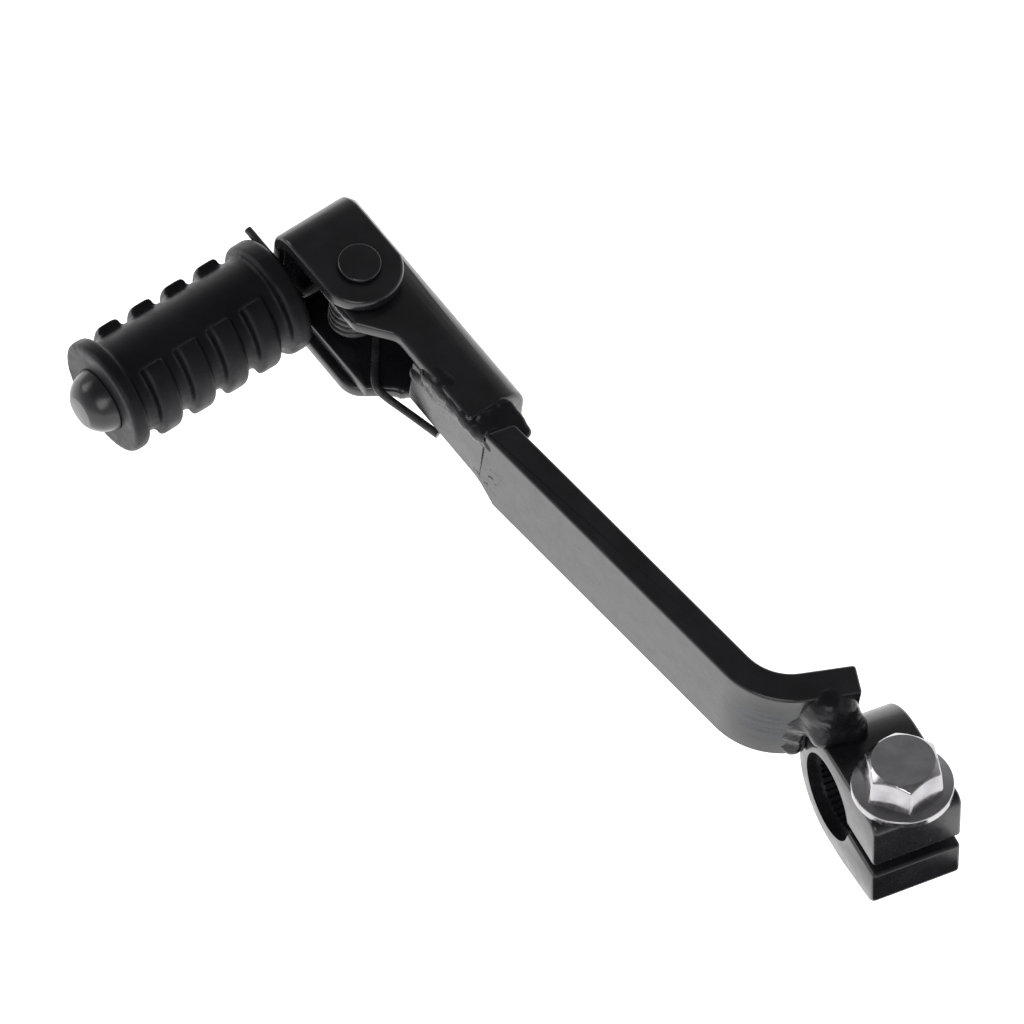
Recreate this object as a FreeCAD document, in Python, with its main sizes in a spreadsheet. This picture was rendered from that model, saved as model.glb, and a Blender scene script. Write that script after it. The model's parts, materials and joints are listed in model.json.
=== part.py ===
import FreeCAD, Part

import math
import os

Vector = FreeCAD.Vector
Rotation = FreeCAD.Rotation
Placement = FreeCAD.Placement

doc = FreeCAD.newDocument("FoldingGearLever")

# Driving sizes in millimetres and degrees.
# Origin at the middle of the splined bore, +X along the lever, +Y outboard, +Z up.
SIZES = [
    ("boss_radius", 9.2),
    ("boss_length", 13.4),
    ("spline_tip_radius", 5.6),
    ("spline_root_radius", 6.1),
    ("spline_teeth", 36),
    ("spline_land_share", 0.5),
    ("counterbore_radius", 6.5),
    ("counterbore_depth", 1.8),
    ("clamp_slot", 2.0),
    ("clamp_tilt", 13.0),
    ("jaw_reach", 14.6),
    ("jaw_front_drop", 1.6),
    ("jaw_corner", 1.8),
    ("bolt_back", 9.5),
    ("bolt_radius", 3.0),
    ("bolt_clearance", 0.3),
    ("bolt_thread_clearance", 0.03),
    ("bolt_end_cover", 1.0),
    ("bolt_flange_radius", 7.1),
    ("bolt_flange_rim", 1.1),
    ("bolt_flange_cone", 0.9),
    ("bolt_flats", 10.0),
    ("bolt_head_height", 6.0),
    ("bolt_head_chamfer", 0.7),
    ("bolt_dish_radius", 3.4),
    ("bolt_dish_depth", 0.45),
    ("bar_height", 16.0),
    ("bar_thickness", 4.5),
    ("stub_angle", 77.4),
    ("stub_inboard_end", 0.4),
    ("bolt_turn", 17.8),
    ("bend_corner_x", 9.15),
    ("bend_corner_y", 14.7),
    ("bend_outer_radius", 12.0),
    ("weld_fit", 0.02),
    ("boss_weld_radius", 3.8),
    ("boss_weld_end", 7.6),
    ("pivot_x", 92.4),
    ("pivot_y", 38.4),
    ("knuckle_angle", 13.5),
    ("channel_wall", 2.5),
    ("channel_height", 15.3),
    ("channel_outer_bend", 5.5),
    ("channel_back", 8.9),
    ("channel_rear", 27.7),
    ("channel_front", 11.9),
    ("mouth_edge", 1.3),
    ("lug_outboard", 5.2),
    ("lug_front", 6.2),
    ("upper_lug_rear", 6.1),
    ("upper_lug_slant", 4.9),
    ("lower_lug_rear", 10.0),
    ("lower_lug_slant", 2.7),
    ("lug_round", 2.4),
    ("tongue_fit", 0.1),
    ("tongue_tip", 14.3),
    ("tongue_slant", 3.0),
    ("notch_run", 3.2),
    ("notch_round", 2.4),
    ("knuckle_weld_radius", 1.7),
    ("end_weld_radius", 2.2),
    ("bracket_wall", 2.5),
    ("bracket_gap", 0.25),
    ("bracket_front", 11.9),
    ("bracket_inboard", 6.0),
    ("bracket_outboard", 6.2),
    ("bracket_bend", 4.2),
    ("upper_ear_radius", 6.3),
    ("lower_ear_rear", 9.3),
    ("lower_ear_corner", 4.0),
    ("rivet_radius", 2.5),
    ("rivet_running_fit", 0.06),
    ("rivet_press_fit", 0.01),
    ("rivet_head_radius", 3.1),
    ("rivet_head_height", 0.9),
    ("rivet_tail_radius", 3.8),
    ("rivet_tail_height", 1.2),
    ("rivet_edge", 0.35),
    ("peg_radius", 3.5),
    ("peg_ahead", 7.8),
    ("button_radius", 4.7),
    ("button_length", 2.6),
    ("button_edge", 1.1),
    ("rubber_gap", 1.75),
    ("rubber_length", 30.6),
    ("rubber_radius", 7.35),
    ("rib_radius", 8.75),
    ("collar_width", 3.2),
    ("end_flange_width", 2.5),
    ("rib_width", 3.6),
    ("rib_count", 4),
    ("rib_half_angle", 49.0),
    ("rubber_edge", 0.7),
    ("peg_weld_radius", 1.35),
    ("wire_radius", 0.68),
    ("coil_radius", 4.0),
    ("coil_whole_turns", 5),
    ("coil_end_gap", 0.1),
    ("leg_gap", 0.15),
    ("bend_swell", 1.04),
    ("lower_leg_reach", 20.5),
    ("upper_leg_gap", 0.15),
    ("upper_leg_ahead", 3.4),
]

sheet = doc.addObject("Spreadsheet::Sheet", "Sizes")
for row, (alias, value) in enumerate(SIZES, start=1):
    sheet.set(f"A{row}", alias)
    sheet.set(f"B{row}", str(value))
    sheet.setAlias(f"B{row}", alias)
doc.recompute()


def size(alias):
    return float(sheet.get(alias))


def bind(feature, prop, expression):
    feature.setExpression(prop, expression)


def rounded(corners):
    """Edges of a closed outline from (x, y, corner radius), each corner turned into a tangent arc."""
    count = len(corners)
    stretches = []
    for i, (x, y, radius) in enumerate(corners):
        here = Vector(x, y, 0)
        before = Vector(*corners[i - 1][:2], 0)
        after = Vector(*corners[(i + 1) % count][:2], 0)
        to_before = (before - here).normalize()
        to_after = (after - here).normalize()
        if radius <= 0:
            stretches.append((here, None, here))
            continue
        half = to_before.getAngle(to_after) / 2
        reach = radius / math.tan(half)
        middle = (to_before + to_after).normalize()
        centre = here + middle * (radius / math.sin(half))
        stretches.append((here + to_before * reach, centre - middle * radius, here + to_after * reach))
    edges = []
    for i, (start, middle, end) in enumerate(stretches):
        if middle is not None:
            edges.append(Part.Arc(start, middle, end))
        following = stretches[(i + 1) % count][0]
        if end.distanceToPoint(following) > 1e-6:
            edges.append(Part.LineSegment(end, following))
    return edges


def circle(x, y, radius):
    return [Part.Circle(Vector(x, y, 0), Vector(0, 0, 1), radius)]


def new_body(label):
    body = doc.addObject("PartDesign::Body", label)
    body.Label = label
    return body


def draw(body, plane, edges, lift=0.0):
    """A sketch on one of the body's own origin planes, lifted along that plane's normal."""
    sketch = body.newObject("Sketcher::SketchObject", body.Label + "_sketch")
    origin_plane = [f for f in body.Origin.OriginFeatures if f.Role == plane][0]
    sketch.AttachmentSupport = [(origin_plane, "")]
    sketch.MapMode = "FlatFace"
    sketch.AttachmentOffset = Placement(Vector(0, 0, lift), Rotation())
    sketch.addGeometry(edges, False)
    doc.recompute()
    return sketch


def pad(body, sketch, length, midplane=False):
    feature = body.newObject("PartDesign::Pad", body.Label + "_pad")
    feature.Profile = sketch
    feature.Midplane = midplane
    bind(feature, "Length", length)
    doc.recompute()
    return feature


def pocket(body, sketch, length):
    """A cut that reaches half its length to each side of its sketch."""
    volume_before = body.Shape.Volume
    feature = body.newObject("PartDesign::Pocket", body.Label + "_pocket")
    feature.Profile = sketch
    feature.Midplane = True
    bind(feature, "Length", length)
    doc.recompute()
    if not body.Shape.Volume < volume_before:
        raise RuntimeError(f"{body.Label}: a pocket cuts nothing")
    return feature


def revolve(body, sketch, angle=None):
    feature = body.newObject("PartDesign::Revolution", body.Label + "_turned")
    feature.Profile = sketch
    feature.ReferenceAxis = (sketch, ["V_Axis"])
    if angle is not None:
        feature.Midplane = True
        bind(feature, "Angle", angle)
    doc.recompute()
    return feature


def cut_from(label, blank, tools):
    """What is left of a blank outside its neighbours."""
    left = doc.addObject("Part::Cut", label)
    left.Label = label
    left.Base = blank
    if len(tools) == 1:
        left.Tool = tools[0]
    else:
        joined = doc.addObject("Part::MultiFuse", label + "_neighbours")
        joined.Shapes = tools
        left.Tool = joined
    doc.recompute()
    return left


# Clamp boss: a machined ring with a split, serrated bore and two jaws behind it, turned a little upwards
boss_radius = size("boss_radius")
jaw_reach = size("jaw_reach")
jaw_corner = size("jaw_corner")
jaw_bottom = size("jaw_front_drop") - boss_radius
boss = new_body("clamp_boss")
pad(boss, draw(boss, "XZ_Plane", circle(0, 0, boss_radius)), "Sizes.boss_length", midplane=True)
jaw_outline = rounded([
    (0, boss_radius, 0),
    (-jaw_reach, boss_radius, jaw_corner),
    (-jaw_reach, jaw_bottom, jaw_corner),
    (-boss_radius / 2, -boss_radius, 0),
    (0, -boss_radius, 0),
])
pad(boss, draw(boss, "XZ_Plane", jaw_outline), "Sizes.boss_length", midplane=True)

spline_tip = size("spline_tip_radius")
spline_root = size("spline_root_radius")
teeth = int(size("spline_teeth"))
pitch = 2 * math.pi / teeth
land = pitch * size("spline_land_share")
flank = (pitch - land) / 3
serration = []
for tooth in range(teeth):
    turn = tooth * pitch
    corners = []
    for radius, angle in (
        (spline_tip, turn - land / 2),
        (spline_tip, turn),
        (spline_tip, turn + land / 2),
        (spline_root, turn + land / 2 + flank),
        (spline_root, turn + land / 2 + 2 * flank),
        (spline_tip, turn + pitch - land / 2),
    ):
        corners.append(Vector(radius * math.cos(angle), radius * math.sin(angle), 0))
    serration.append(Part.Arc(corners[0], corners[1], corners[2]))
    serration += [Part.LineSegment(start, end) for start, end in zip(corners[2:-1], corners[3:])]
pocket(boss, draw(boss, "XZ_Plane", serration), "2 * Sizes.boss_length")

outboard_face = -size("boss_length") / 2
counterbore = draw(boss, "XZ_Plane", circle(0, 0, size("counterbore_radius")), outboard_face)
pocket(boss, counterbore, "2 * Sizes.counterbore_depth")

half_slot = size("clamp_slot") / 2
slot_outline = rounded([
    (0, -half_slot, 0),
    (0, half_slot, 0),
    (-2 * jaw_reach, half_slot, 0),
    (-2 * jaw_reach, -half_slot, 0),
])
pocket(boss, draw(boss, "XZ_Plane", slot_outline), "2 * Sizes.boss_length")

bolt_back = size("bolt_back")
bolt_radius = size("bolt_radius")
upper_hole = circle(-bolt_back, 0, bolt_radius + size("bolt_clearance"))
lower_hole = circle(-bolt_back, 0, bolt_radius + size("bolt_thread_clearance"))
pocket(boss, draw(boss, "XY_Plane", upper_hole, boss_radius), "2 * Sizes.boss_radius")
pocket(boss, draw(boss, "XY_Plane", lower_hole, -boss_radius), "2 * Sizes.boss_radius")
clamp_turn = Placement(Vector(0, 0, 0), Rotation(Vector(0, 1, 0), size("clamp_tilt")))
boss.Placement = clamp_turn

# Clamp bolt: flange, hexagon with a chamfered and dished top, and a shank that screws into the lower jaw
flange_top = size("bolt_flange_rim") + size("bolt_flange_cone")
head_top = size("bolt_head_height")
head_corner = size("bolt_flats") / math.sqrt(3)
shank_end = boss_radius - jaw_bottom - size("bolt_end_cover")
bolt = new_body("clamp_bolt")
flange_profile = rounded([
    (0, -shank_end, 0),
    (bolt_radius - size("bolt_head_chamfer"), -shank_end, 0),
    (bolt_radius, size("bolt_head_chamfer") - shank_end, 0),
    (bolt_radius, 0, 0),
    (size("bolt_flange_radius"), 0, 0),
    (size("bolt_flange_radius"), size("bolt_flange_rim"), size("bolt_flange_rim") / 3),
    (size("bolt_flats") / 2, flange_top, 0),
    (0, flange_top, 0),
])
revolve(bolt, draw(bolt, "XZ_Plane", flange_profile))
hexagon = []
for corner in range(6):
    angle = math.radians(60 * corner + size("bolt_turn"))
    hexagon.append((head_corner * math.cos(angle), head_corner * math.sin(angle), 0))
pad(bolt, draw(bolt, "XY_Plane", rounded(hexagon)), "Sizes.bolt_head_height")
dish_radius = size("bolt_dish_radius")
crown_cut = rounded([
    (0, head_top - size("bolt_dish_depth"), 0),
    (dish_radius - size("bolt_dish_depth"), head_top - size("bolt_dish_depth"), 0),
    (dish_radius, head_top, 0),
    (dish_radius, 2 * head_top, 0),
    (0, 2 * head_top, 0),
])
rim_cut = rounded([
    (size("bolt_flats") / 2 - size("bolt_head_chamfer") / 2, head_top, 0),
    (head_corner + size("bolt_head_chamfer"), head_top - 2 * size("bolt_head_chamfer"), 0),
    (head_corner + size("bolt_head_chamfer"), 2 * head_top, 0),
    (size("bolt_flats") / 2 - size("bolt_head_chamfer") / 2, 2 * head_top, 0),
])
for profile in (crown_cut, rim_cut):
    groove_sketch = draw(bolt, "XZ_Plane", profile)
    groove = bolt.newObject("PartDesign::Groove", "clamp_bolt_groove")
    groove.Profile = groove_sketch
    groove.ReferenceAxis = (groove_sketch, ["V_Axis"])
    doc.recompute()
bolt.Placement = clamp_turn.multiply(Placement(Vector(-bolt_back, 0, boss_radius), Rotation()))

# Arm bar: flat steel on edge, bent near the boss, with a narrower tongue at its front end
pivot = Vector(size("pivot_x"), size("pivot_y"), size("bar_height") / 2)
knuckle_turn = Rotation(Vector(0, 0, 1), size("knuckle_angle"))
at_knuckle = Placement(pivot, knuckle_turn)


def heading(angle):
    return Vector(math.cos(math.radians(angle)), math.sin(math.radians(angle)), 0)


def meet(point_a, way_a, point_b, way_b):
    """Where two straight lines in plan cross."""
    across = Vector(-way_b.y, way_b.x, 0)
    return point_a + way_a * ((point_b - point_a).dot(across) / way_a.dot(across))


bar_thickness = size("bar_thickness")
stub_way = heading(size("stub_angle"))
tongue_way = heading(size("knuckle_angle"))
tongue_out = Vector(-tongue_way.y, tongue_way.x, 0)
bend_corner = Vector(size("bend_corner_x"), size("bend_corner_y"), 0)
in_plan = Vector(pivot.x, pivot.y, 0)
mouth_line = in_plan + tongue_out * (size("mouth_edge") - size("tongue_fit"))
seam_back = size("channel_rear") + size("notch_run")
seam_outer = mouth_line - tongue_way * seam_back
bar_way = (seam_outer - bend_corner).normalize()
inward = [Vector(way.y, -way.x, 0) * bar_thickness for way in (stub_way, bar_way, tongue_way)]
stub_end = meet(bend_corner, stub_way, Vector(0, size("stub_inboard_end"), 0), Vector(1, 0, 0))
stub_end_inner = stub_end + inward[0]
tip_outer = mouth_line - tongue_way * size("tongue_tip")
tip_inner = tip_outer + inward[2] - tongue_way * size("tongue_slant")
bend_inner = meet(bend_corner + inward[0], stub_way, bend_corner + inward[1], bar_way)
seam_inner = meet(bend_corner + inward[1], bar_way, mouth_line + inward[2], tongue_way)
outer_bend = size("bend_outer_radius")
bar_outline = rounded([
    (stub_end.x, stub_end.y, 0),
    (stub_end_inner.x, stub_end_inner.y, 0),
    (bend_inner.x, bend_inner.y, outer_bend - bar_thickness),
    (seam_inner.x, seam_inner.y, 0),
    (tip_inner.x, tip_inner.y, 0),
    (tip_outer.x, tip_outer.y, 0),
    (seam_outer.x, seam_outer.y, 0),
    (bend_corner.x, bend_corner.y, outer_bend),
])
bar = new_body("arm_bar")
pad(bar, draw(bar, "XY_Plane", bar_outline), "Sizes.bar_height")
bar_height = size("bar_height")
tongue_half = size("channel_height") / 2 - size("channel_wall") - size("tongue_fit")
tongue_bottom = bar_height / 2 - tongue_half
tongue_top = bar_height / 2 + tongue_half
notch_x = (in_plan - tongue_way * size("channel_rear")).x - 2 * size("notch_run")
past_tip = tip_outer.x + bar_height
lower_notch = rounded([
    (notch_x - size("notch_run"), -bar_height, 0),
    (notch_x, 0, size("notch_round")),
    (notch_x + size("notch_run"), tongue_bottom, size("notch_round")),
    (past_tip, tongue_bottom, 0),
    (past_tip, -bar_height, 0),
])
upper_notch = rounded([
    (notch_x + size("notch_run"), tongue_top, 0),
    (past_tip, tongue_top, 0),
    (past_tip, 2 * bar_height, 0),
    (notch_x + size("notch_run"), 2 * bar_height, 0),
])
for notch in (lower_notch, upper_notch):
    pocket(bar, draw(bar, "XZ_Plane", notch), "4 * Sizes.pivot_y")
cope = draw(bar, "XZ_Plane", circle(0, 0, boss_radius + size("weld_fit")))
pocket(bar, cope, "Sizes.boss_length + 2 * Sizes.weld_fit")

# Boss weld: a bead in the groove between the boss and the stub of the bar
bead_start = Vector(stub_end.x, stub_end.y, boss_radius) - Vector(0, 0, size("boss_weld_radius") / 3)
bead = doc.addObject("Part::Cylinder", "boss_bead")
bind(bead, "Radius", "Sizes.boss_weld_radius")
bind(bead, "Height", "Sizes.boss_weld_end - Sizes.stub_inboard_end")
bead.Placement = Placement(bead_start, Rotation(Vector(0, 0, 1), stub_way))
boss_core = doc.addObject("Part::Cylinder", "boss_core")
bind(boss_core, "Radius", "Sizes.boss_radius + Sizes.weld_fit")
bind(boss_core, "Height", "Sizes.boss_length * 2")
boss_core.Placement = Placement(Vector(0, size("boss_length"), 0), Rotation(Vector(1, 0, 0), 90))
boss_weld = cut_from("boss_weld", bead, [boss_core, bar])

# Knuckle channel: a formed sheet, open outboard, whose lugs carry the pivot
half_channel = size("channel_height") / 2
channel_wall = size("channel_wall")
outer_fold = size("channel_outer_bend")
channel_back = size("channel_back")
lug_outboard = size("lug_outboard")
channel = new_body("knuckle_channel")
channel_section = rounded([
    (lug_outboard, half_channel, 0),
    (-channel_back, half_channel, outer_fold),
    (-channel_back, -half_channel, outer_fold),
    (lug_outboard, -half_channel, 0),
    (lug_outboard, channel_wall - half_channel, 0),
    (channel_wall - channel_back, channel_wall - half_channel, outer_fold - channel_wall),
    (channel_wall - channel_back, half_channel - channel_wall, outer_fold - channel_wall),
    (lug_outboard, half_channel - channel_wall, 0),
])
pad(channel, draw(channel, "YZ_Plane", channel_section, -size("channel_rear")),
    "Sizes.channel_rear + Sizes.channel_front")
mouth = size("mouth_edge")
lug_round = size("lug_round")
lug_front = size("lug_front")
back_inner = channel_wall - channel_back
past_lug = 2 * lug_outboard
past_rear = -2 * size("channel_rear")
past_front = 2 * size("channel_front")
for side, lug in ((1, "upper_lug"), (-1, "lower_lug")):
    lug_rear = -size(lug + "_rear")
    edge_trim = rounded([
        (past_rear, mouth, 0),
        (lug_rear - size(lug + "_slant"), mouth, lug_round),
        (lug_rear, lug_outboard, lug_round),
        (lug_rear + lug_round, past_lug, 0),
        (past_rear, past_lug, 0),
    ])
    pocket(channel, draw(channel, "XY_Plane", edge_trim, side * half_channel), "2 * Sizes.channel_wall")
front_trim = rounded([
    (lug_front, past_lug, 0),
    (lug_front, back_inner, lug_round),
    (past_front, back_inner, 0),
    (past_front, past_lug, 0),
])
pocket(channel, draw(channel, "XY_Plane", front_trim), "2 * Sizes.channel_height")
rivet_radius = size("rivet_radius")
pin_hole = circle(0, 0, rivet_radius + size("rivet_running_fit"))
pocket(channel, draw(channel, "XY_Plane", pin_hole), "2 * Sizes.channel_height")
channel.Placement = at_knuckle


def bead_along(name, radius, length, start, way):
    """A straight weld bead in the knuckle's own frame."""
    rod = doc.addObject("Part::Cylinder", name)
    bind(rod, "Radius", radius)
    bind(rod, "Height", length)
    rod.Placement = at_knuckle.multiply(Placement(start, Rotation(Vector(0, 0, 1), way)))
    return rod


# Knuckle welds: a bead along the tongue under the upper flange, and one across the channel's rear end
tongue_bead = bead_along(
    "tongue_bead", "Sizes.knuckle_weld_radius",
    "Sizes.channel_rear - Sizes.tongue_tip - Sizes.tongue_slant",
    Vector(-size("channel_rear"), mouth, tongue_half), Vector(1, 0, 0))
knuckle_weld = cut_from("knuckle_weld", tongue_bead, [channel, bar])
end_bead = bead_along(
    "end_bead", "Sizes.end_weld_radius", "Sizes.channel_height - 2 * Sizes.channel_wall",
    Vector(-size("channel_rear"), mouth - bar_thickness - size("end_weld_radius") / 2, -tongue_half),
    Vector(0, 0, 1))
knuckle_end_weld = cut_from("knuckle_end_weld", end_bead, [channel, bar])

# Toe bracket: a strip bent to a U over the knuckle, with a short upper ear and a longer lower one
bracket_wall = size("bracket_wall")
bracket_half = half_channel + size("bracket_gap") + bracket_wall
bracket_front = size("bracket_front")
bracket_bend = size("bracket_bend")
lower_rear = -size("lower_ear_rear")
bracket = new_body("toe_bracket")
bracket_section = rounded([
    (lower_rear, bracket_half, 0),
    (bracket_front, bracket_half, bracket_bend),
    (bracket_front, -bracket_half, bracket_bend),
    (lower_rear, -bracket_half, 0),
    (lower_rear, bracket_wall - bracket_half, 0),
    (bracket_front - bracket_wall, bracket_wall - bracket_half, bracket_bend - bracket_wall),
    (bracket_front - bracket_wall, bracket_half - bracket_wall, bracket_bend - bracket_wall),
    (lower_rear, bracket_half - bracket_wall, 0),
])
strip_width = "Sizes.bracket_inboard + Sizes.bracket_outboard"
strip_middle = (size("bracket_outboard") - size("bracket_inboard")) / 2
pad(bracket, draw(bracket, "XZ_Plane", bracket_section, -strip_middle), strip_width, midplane=True)
ear = size("upper_ear_radius")
past_ear = 2 * size("lower_ear_rear")
upper_trim = [
    Part.LineSegment(Vector(0, ear, 0), Vector(0, past_ear, 0)),
    Part.LineSegment(Vector(0, past_ear, 0), Vector(-past_ear, past_ear, 0)),
    Part.LineSegment(Vector(-past_ear, past_ear, 0), Vector(-past_ear, -past_ear, 0)),
    Part.LineSegment(Vector(-past_ear, -past_ear, 0), Vector(0, -past_ear, 0)),
    Part.LineSegment(Vector(0, -past_ear, 0), Vector(0, -ear, 0)),
    Part.Arc(Vector(0, -ear, 0), Vector(-ear, 0, 0), Vector(0, ear, 0)),
]
pocket(bracket, draw(bracket, "XY_Plane", upper_trim, bracket_half), "2 * Sizes.bracket_wall")
corner = size("lower_ear_corner")
for side, edge in ((1, size("bracket_outboard")), (-1, size("bracket_inboard"))):
    centre = Vector(lower_rear + corner, side * (edge - corner), 0)
    slope = corner * math.sqrt(0.5)
    start = centre + Vector(-corner, 0, 0)
    end = centre + Vector(0, side * corner, 0)
    outside = Vector(lower_rear, side * edge, 0) + Vector(-corner, side * corner, 0)
    corner_trim = [
        Part.Arc(start, centre + Vector(-slope, side * slope, 0), end),
        Part.LineSegment(end, Vector(end.x, outside.y, 0)),
        Part.LineSegment(Vector(end.x, outside.y, 0), outside),
        Part.LineSegment(outside, Vector(outside.x, start.y, 0)),
        Part.LineSegment(Vector(outside.x, start.y, 0), start),
    ]
    pocket(bracket, draw(bracket, "XY_Plane", corner_trim, -bracket_half), "2 * Sizes.bracket_wall")
press_hole = circle(0, 0, rivet_radius + size("rivet_press_fit"))
pocket(bracket, draw(bracket, "XY_Plane", press_hole), "4 * Sizes.channel_height")
bracket.Placement = at_knuckle

# Pivot rivet: one turned pin, headed above and below the bracket's ears
rivet_edge = size("rivet_edge")
rivet_top = bracket_half + size("rivet_head_height")
rivet_bottom = -bracket_half - size("rivet_tail_height")
rivet = new_body("pivot_rivet")
rivet_profile = rounded([
    (0, rivet_bottom, 0),
    (size("rivet_tail_radius"), rivet_bottom, rivet_edge),
    (size("rivet_tail_radius"), -bracket_half, 0),
    (rivet_radius, -bracket_half, 0),
    (rivet_radius, bracket_half, 0),
    (size("rivet_head_radius"), bracket_half, 0),
    (size("rivet_head_radius"), rivet_top, rivet_edge),
    (0, rivet_top, 0),
])
revolve(rivet, draw(rivet, "XZ_Plane", rivet_profile))
rivet.Placement = at_knuckle

# The peg's pieces are turned about their own Z, which points outboard at the knuckle
peg_axis = Placement(Vector(size("peg_ahead"), 0, 0), Rotation(Vector(1, 0, 0), -90))
at_peg = at_knuckle.multiply(peg_axis)

# Toe peg: a steel rod with a button on its outer end that keeps the rubber on
peg_start = size("bracket_outboard") + size("weld_fit")
rubber_start = size("bracket_outboard") + size("rubber_gap")
rubber_end = rubber_start + size("rubber_length")
peg_end = rubber_end + size("button_length")
peg_radius = size("peg_radius")
peg = new_body("toe_peg")
peg_profile = rounded([
    (0, peg_start, 0),
    (peg_radius, peg_start, 0),
    (peg_radius, rubber_end, 0),
    (size("button_radius"), rubber_end, 0),
    (size("button_radius"), peg_end, size("button_edge")),
    (0, peg_end, 0),
])
revolve(peg, draw(peg, "XZ_Plane", peg_profile))
peg.Placement = at_peg

# Toe rubber: a moulded sleeve with a collar, an end flange and rows of side ribs
rubber_radius = size("rubber_radius")
rib_radius = size("rib_radius")
rubber_edge = size("rubber_edge")
collar_end = rubber_start + size("collar_width")
flange_start = rubber_end - size("end_flange_width")
rubber = new_body("toe_rubber")
sleeve_profile = rounded([
    (peg_radius, rubber_start, 0),
    (rib_radius, rubber_start, rubber_edge),
    (rib_radius, collar_end, rubber_edge),
    (rubber_radius, collar_end, 0),
    (rubber_radius, flange_start, 0),
    (rib_radius, flange_start, rubber_edge),
    (rib_radius, rubber_end, rubber_edge),
    (peg_radius, rubber_end, 0),
])
revolve(rubber, draw(rubber, "XZ_Plane", sleeve_profile))
rib_count = int(size("rib_count"))
rib_width = size("rib_width")
rib_gap = (flange_start - collar_end - rib_count * rib_width) / (rib_count + 1)
rib_profiles = []
for rib in range(rib_count):
    start = collar_end + rib_gap + rib * (rib_width + rib_gap)
    rib_profiles += rounded([
        (rubber_radius - rubber_edge, start, 0),
        (rib_radius, start, rubber_edge),
        (rib_radius, start + rib_width, rubber_edge),
        (rubber_radius - rubber_edge, start + rib_width, 0),
    ])
ribs = revolve(rubber, draw(rubber, "XZ_Plane", rib_profiles), "2 * Sizes.rib_half_angle")
other_side = rubber.newObject("PartDesign::PolarPattern", "toe_rubber_sides")
other_side.Originals = [ribs]
other_side.Axis = (ribs.Profile[0], ["V_Axis"])
other_side.Angle = 360
other_side.Occurrences = 2
rubber.Tip = other_side
doc.recompute()
rubber.Placement = at_peg

# Peg weld: a fillet round the lower half of the rod where it leaves the bracket
fillet_ring = doc.addObject("Part::Torus", "fillet_ring")
bind(fillet_ring, "Radius1", "Sizes.peg_radius")
bind(fillet_ring, "Radius2", "Sizes.peg_weld_radius")
fillet_ring.Angle3 = 180
fillet_ring.Placement = at_knuckle.multiply(Placement(
    Vector(size("peg_ahead"), size("bracket_outboard"), 0), Rotation(Vector(1, 0, 0), -90)))
peg_weld = cut_from("peg_weld", fillet_ring, [bracket, peg])

# Torsion spring: a wire coil round the rivet, one leg against the arm and one round the bracket
wire_radius = size("wire_radius")
coil_radius = size("coil_radius")
leg_height = half_channel - channel_wall - size("coil_end_gap") - wire_radius
leg_offset = mouth + wire_radius + size("leg_gap")
leg_drop = half_channel - wire_radius - size("leg_gap")
leg_rear = size("lower_lug_rear") + size("lower_lug_slant") + wire_radius
exit_angle = math.degrees(math.atan2(leg_offset, -leg_rear))
exit_distance = math.hypot(leg_offset, leg_rear)
coil_start = exit_angle + math.degrees(math.acos(coil_radius / exit_distance))
coil_turns = size("coil_whole_turns") + (360 - coil_start) / 360
lower_length = math.sqrt(exit_distance ** 2 - coil_radius ** 2)
upper_length = size("bracket_outboard") + wire_radius + size("upper_leg_gap")
coil_length = 2 * math.pi * coil_radius * coil_turns
climb = 2 * leg_height / (lower_length + coil_length + upper_length)
helix = Part.makeHelix(climb * coil_length / coil_turns, climb * coil_length, coil_radius)
helix.translate(Vector(0, 0, climb * lower_length - leg_height))
helix.rotate(Vector(0, 0, 0), Vector(0, 0, 1), coil_start)
coil_edge = helix.Edges[0]
leg_exit = Vector(-leg_rear, leg_offset, -leg_height)
upper_corner = Vector(coil_radius, upper_length, leg_height)
wire_path = Part.Wire([
    Part.makeLine(leg_exit, coil_edge.valueAt(coil_edge.FirstParameter)),
    coil_edge,
    Part.makeLine(coil_edge.valueAt(coil_edge.LastParameter), upper_corner),
])
first_way = coil_edge.tangentAt(coil_edge.FirstParameter)
wire_section = Part.Wire(Part.makeCircle(wire_radius, leg_exit, first_way))
coil = wire_path.makePipeShell([wire_section], True, False)
lower_route = [
    leg_exit,
    Vector(-leg_rear - leg_drop + leg_height, leg_offset, -leg_drop),
    Vector(-size("lower_leg_reach"), leg_offset, -leg_drop),
]
upper_route = [upper_corner, Vector(bracket_front + size("upper_leg_ahead"), upper_length, leg_height)]


def wire_run(route):
    """Straight wires from point to point with a slightly swollen ball at each bend."""
    pieces = []
    for start, end in zip(route, route[1:]):
        way = end - start
        pieces.append(Part.makeSphere(wire_radius * size("bend_swell"), start))
        pieces.append(Part.makeCylinder(wire_radius, way.Length, start, way))
    return pieces


spring = doc.addObject("Part::Feature", "torsion_spring")
spring.Label = "torsion_spring"
spring.Shape = coil.multiFuse(wire_run(lower_route) + wire_run(upper_route))
spring.Placement = at_knuckle
doc.recompute()

NODES = [
    boss, bolt, bar, boss_weld, channel, knuckle_weld, knuckle_end_weld,
    bracket, rivet, peg, peg_weld, rubber, spring,
]
for item in doc.Objects:
    if "Invalid" in item.State or "Error" in item.State:
        raise RuntimeError(f"{item.Label} failed: {item.State}")
for node in NODES:
    if node.Shape.isNull() or not node.Shape.isValid():
        raise RuntimeError(f"{node.Label} has no valid shape")

os.makedirs("parts", exist_ok=True)
for node in NODES:
    node.Shape.exportStep(f"parts/{node.Label}.step")
    box = node.Shape.BoundBox
    print(f"{node.Label}: {len(node.Shape.Solids)} solid, {node.Shape.Volume:.0f} mm3,"
          f" x {box.XMin:.1f}..{box.XMax:.1f} y {box.YMin:.1f}..{box.YMax:.1f} z {box.ZMin:.1f}..{box.ZMax:.1f}")
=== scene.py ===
import json
import math
import random

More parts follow.
